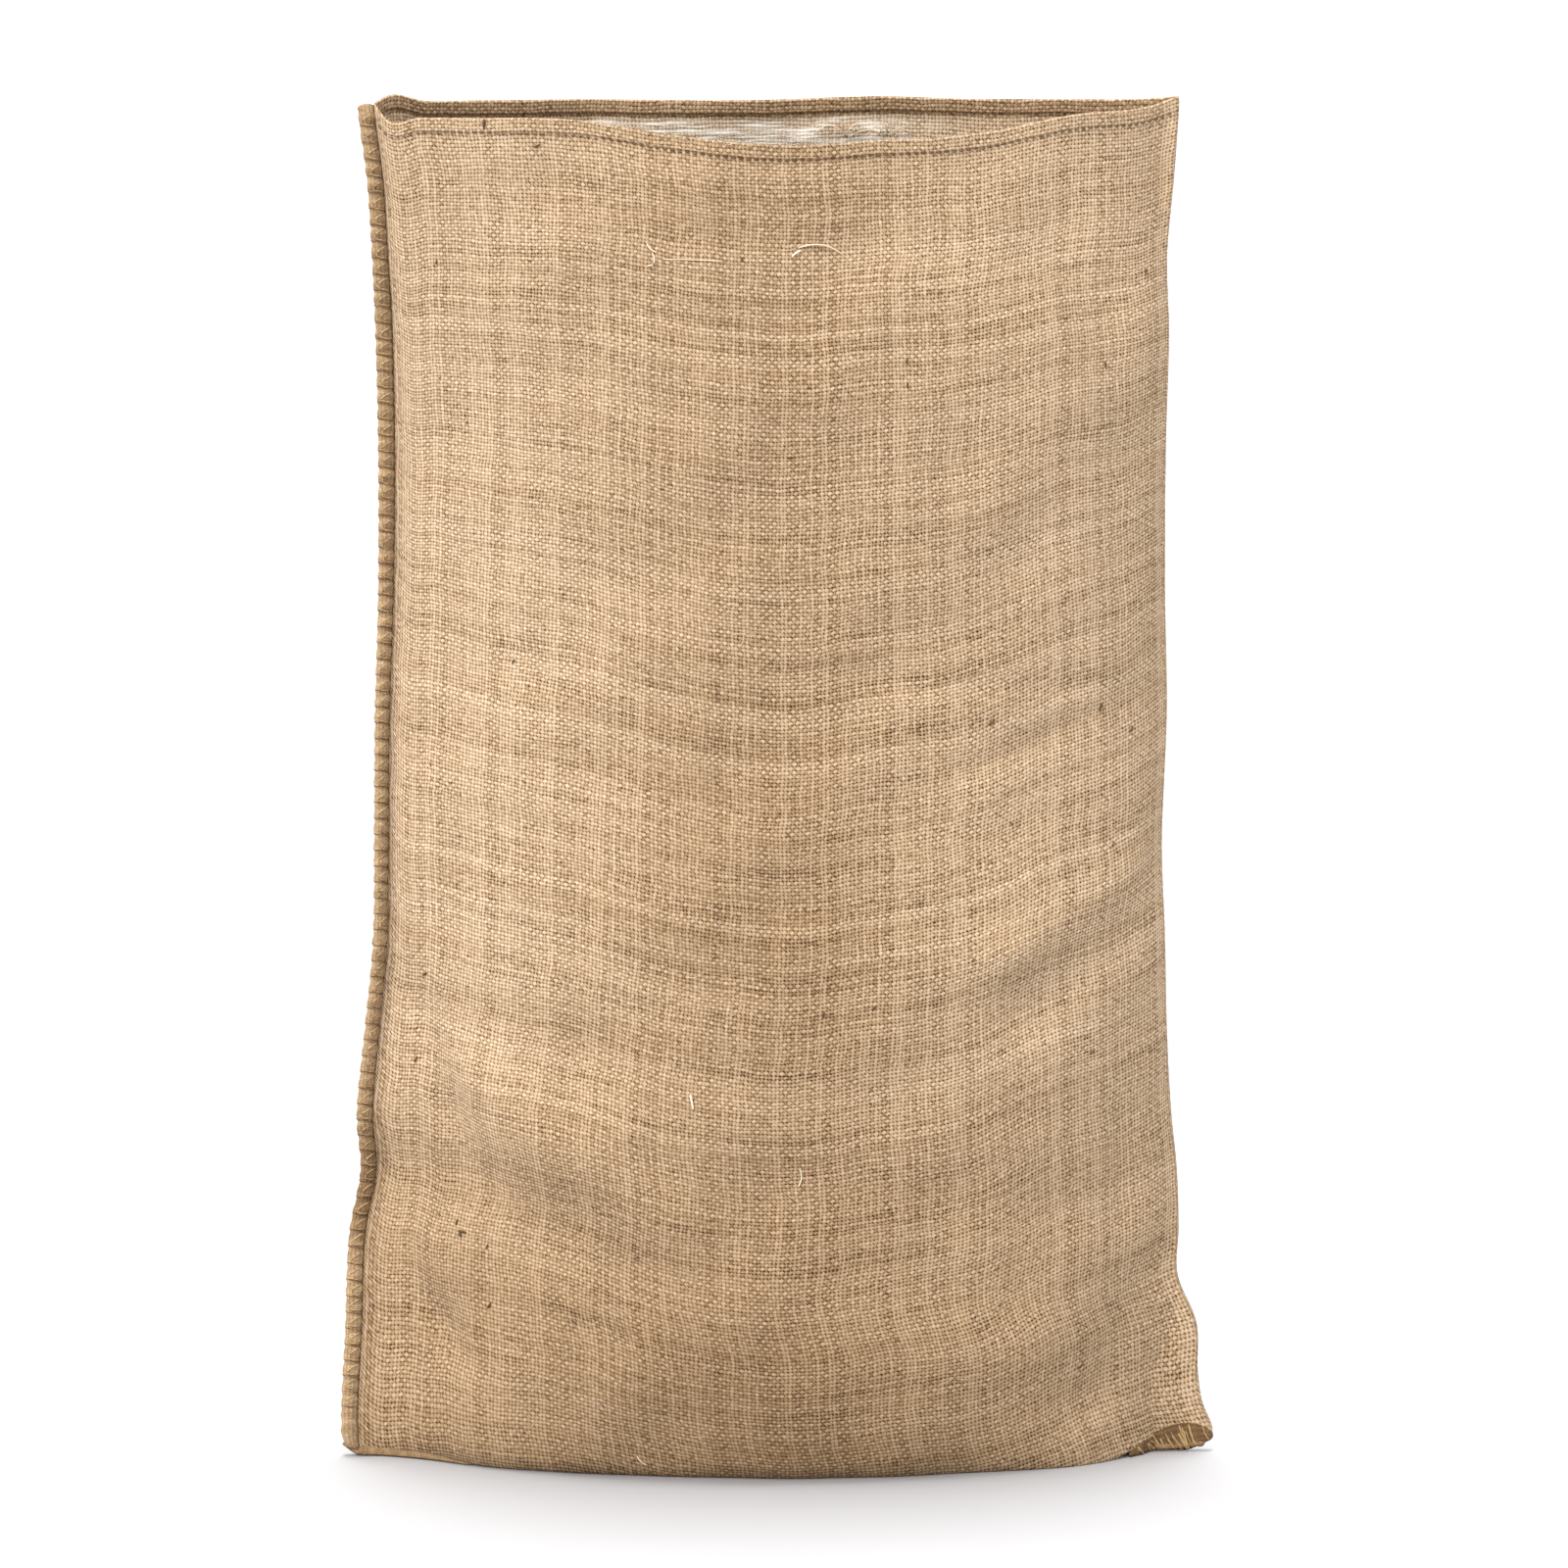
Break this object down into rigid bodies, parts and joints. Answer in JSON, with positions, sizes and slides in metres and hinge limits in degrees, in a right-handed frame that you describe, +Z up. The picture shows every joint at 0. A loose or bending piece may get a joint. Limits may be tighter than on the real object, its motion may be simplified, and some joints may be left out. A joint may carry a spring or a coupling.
{
  "type": "burlap sack",
  "caption": "Open burlap sack standing upright, with a hemmed mouth, an oversewn side seam, a folded side and flattened bottom corners.",
  "frame": {"origin": "on the floor, under the middle of the sack's box", "axes": "+Z up towards the mouth, +Y to the back of the sack, +X to the folded side as seen from the front"},
  "size_m": [0.6162, 0.2008, 0.9611],
  "materials": {
    "jute_cloth": "coarse plain weave of undyed jute",
    "side_sewing_yarn": "thick undyed jute yarn, oversewn",
    "bottom_sewing_yarn": "thick undyed jute yarn, oversewn"
  },
  "bodies": {
    "root": {"sack_cloth": "jute_cloth", "side_oversewing": "side_sewing_yarn", "bottom_oversewing": "bottom_sewing_yarn"}
  },
  "joints": []
}
